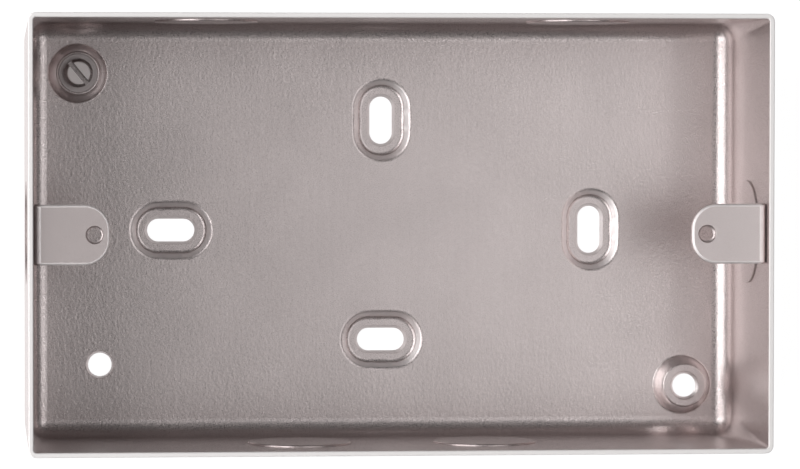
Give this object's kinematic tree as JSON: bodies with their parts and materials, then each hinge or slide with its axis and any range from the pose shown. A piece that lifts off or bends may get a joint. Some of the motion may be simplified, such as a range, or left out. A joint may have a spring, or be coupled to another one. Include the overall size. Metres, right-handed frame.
{
  "type": "surface back box",
  "caption": "Surface back box of pressed steel with an open front, slotted fixing seats, tapped lugs for an accessory plate, wall knock-outs and an earth screw.",
  "frame": {"origin": "under the middle of the box, level with the lowest faces of the slot seats, which rest on the wall", "axes": "+X along the length, +Y across it, +Z out of the open front"},
  "size_m": [0.1466, 0.0864, 0.0413],
  "materials": {
    "zinc_plated_shell": "zinc plated, satin",
    "zinc_plated_lug": "zinc plated, satin",
    "screw_steel": "zinc plated, satin",
    "washer_steel": "zinc plated, satin"
  },
  "bodies": {
    "root": {"back_box": "zinc_plated_shell", "lug_left": "zinc_plated_lug", "lug_right": "zinc_plated_lug", "earth_screw": "screw_steel", "earth_washer": "washer_steel"}
  },
  "joints": []
}
